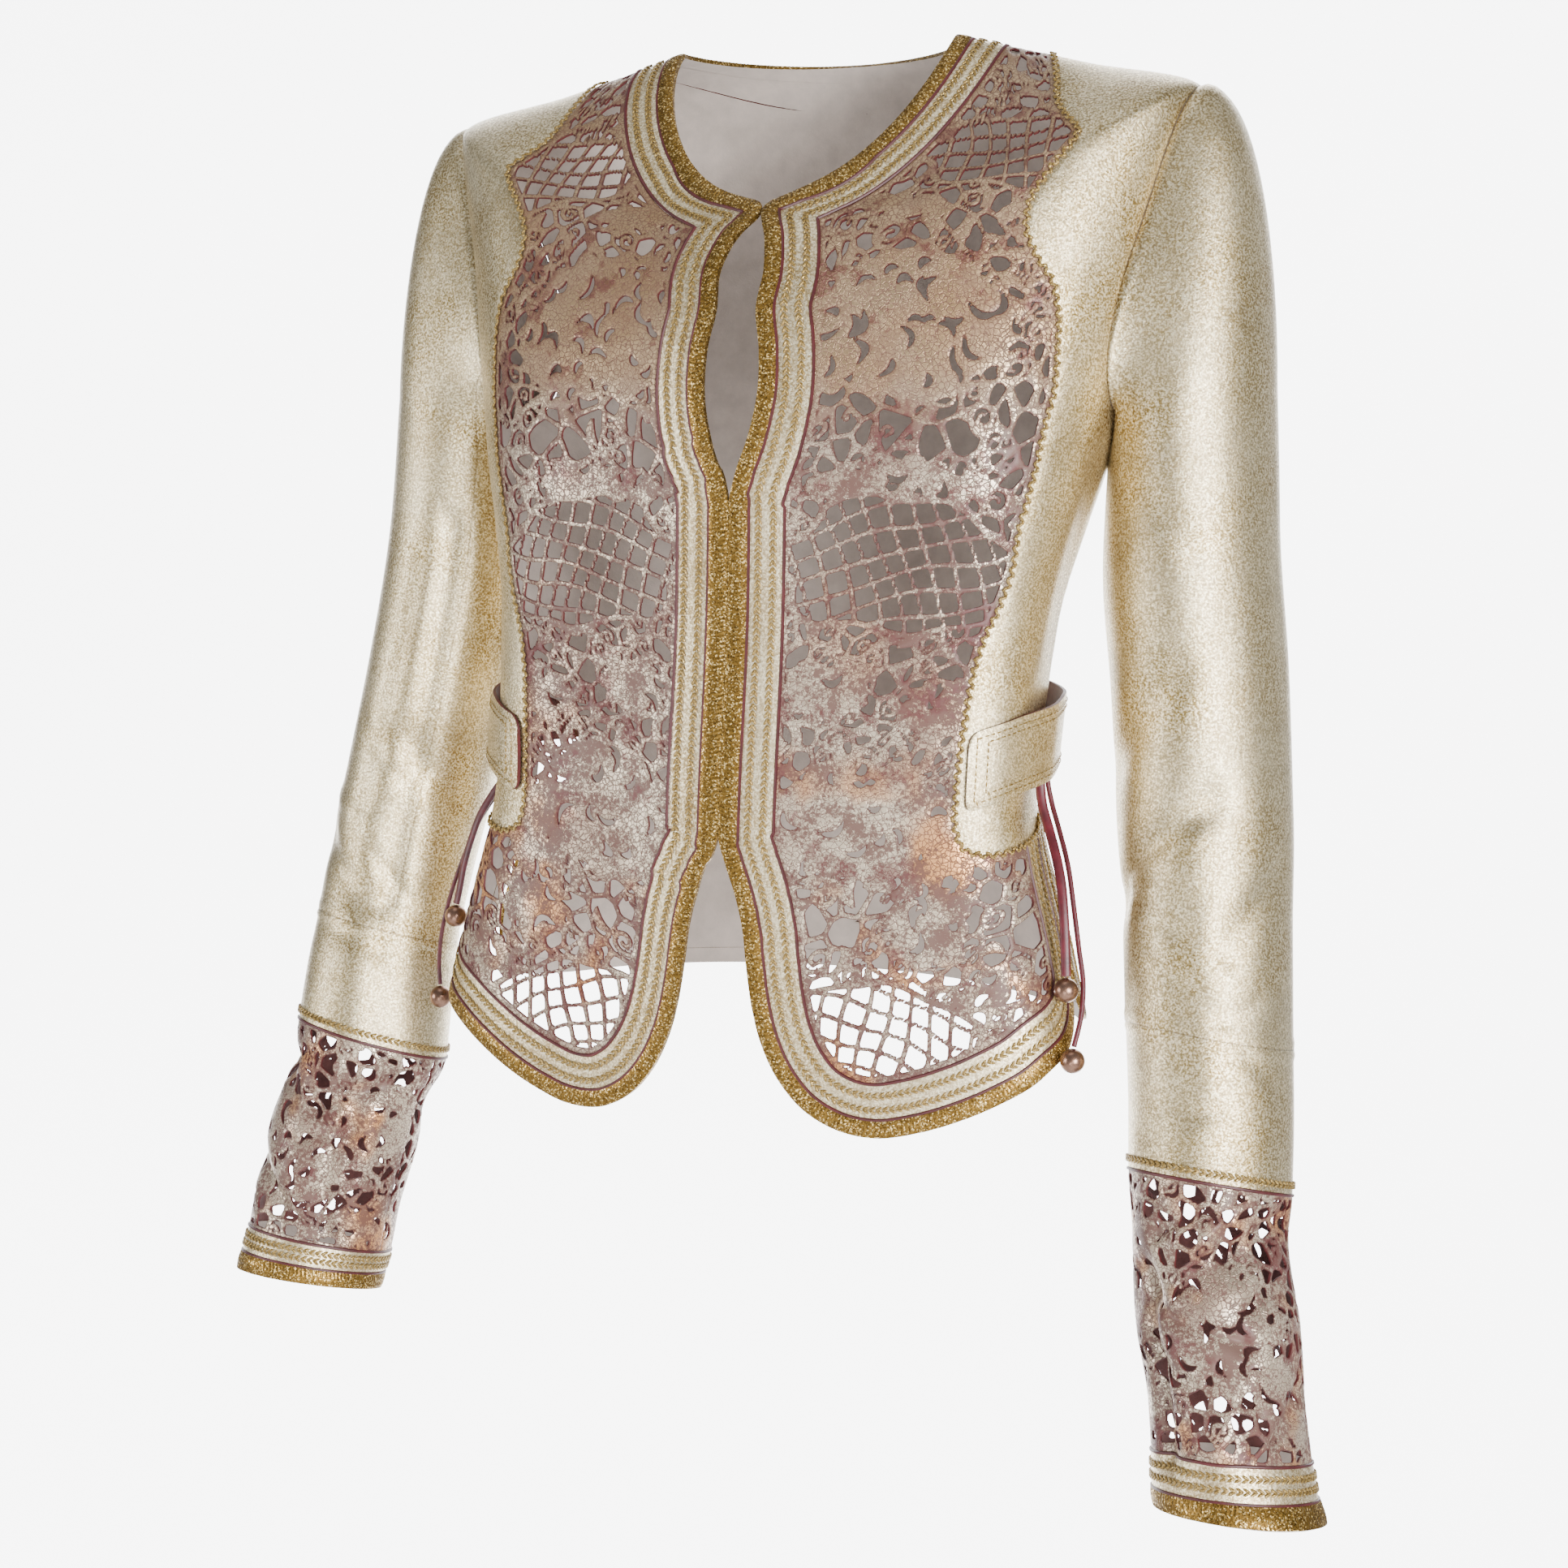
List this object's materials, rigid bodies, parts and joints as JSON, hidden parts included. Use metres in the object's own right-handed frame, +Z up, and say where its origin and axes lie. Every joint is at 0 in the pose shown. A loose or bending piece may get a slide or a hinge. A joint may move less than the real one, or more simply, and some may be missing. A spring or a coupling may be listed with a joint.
{
  "type": "leather jacket",
  "caption": "Short fitted collarless jacket of foiled leather with cut-out lace fronts and cuffs, braid-trimmed edges, side vents and a half belt at the back.",
  "frame": {"origin": "middle of the neck opening, level with the side of the neck, where the neck and shoulders hold the jacket", "axes": "+Z up along the back, -Y out of the front, +X to the wearer's left"},
  "size_m": [0.5464, 0.2059, 0.6481],
  "materials": {
    "foiled_leather": "pale gold foil with a fine speckle",
    "lace_leather": "crackled silver-gold foil over mauve-brown leather, burgundy cut edges",
    "trim_leather": "light silver-gold foil",
    "glitter_braid": "sparkling ribbed metal-thread braid",
    "cord_leather": "burgundy leather lace",
    "bead_metal": "bronze-pink polished bead"
  },
  "bodies": {
    "root": {"back_L": "foiled_leather", "back_R": "foiled_leather", "bead_far_L": "bead_metal", "bead_far_R": "bead_metal", "bead_near_L": "bead_metal", "bead_near_R": "bead_metal", "cord_far_L": "cord_leather", "cord_far_R": "cord_leather", "cord_near_L": "cord_leather", "cord_near_R": "cord_leather", "cuff_band_L": "trim_leather", "cuff_band_R": "trim_leather", "cuff_braid_L": "glitter_braid", "cuff_braid_R": "glitter_braid", "cuff_lace_back_L": "lace_leather", "cuff_lace_back_R": "lace_leather", "cuff_lace_front_L": "lace_leather", "cuff_lace_front_R": "lace_leather", "front_band_L": "trim_leather", "front_band_R": "trim_leather", "front_braid_L": "glitter_braid", "front_braid_R": "glitter_braid", "front_lace_L": "lace_leather", "front_lace_R": "lace_leather", "half_belt": "foiled_leather", "hem_band_back": "trim_leather", "hem_braid_back": "glitter_braid", "neck_band_back": "trim_leather", "neck_braid_back": "glitter_braid", "side_front_L": "foiled_leather", "side_front_R": "foiled_leather", "sleeve_band_L": "foiled_leather", "sleeve_band_R": "foiled_leather", "sleeve_top_L": "foiled_leather", "sleeve_top_R": "foiled_leather", "sleeve_under_L": "foiled_leather", "sleeve_under_R": "foiled_leather"}
  },
  "joints": []
}
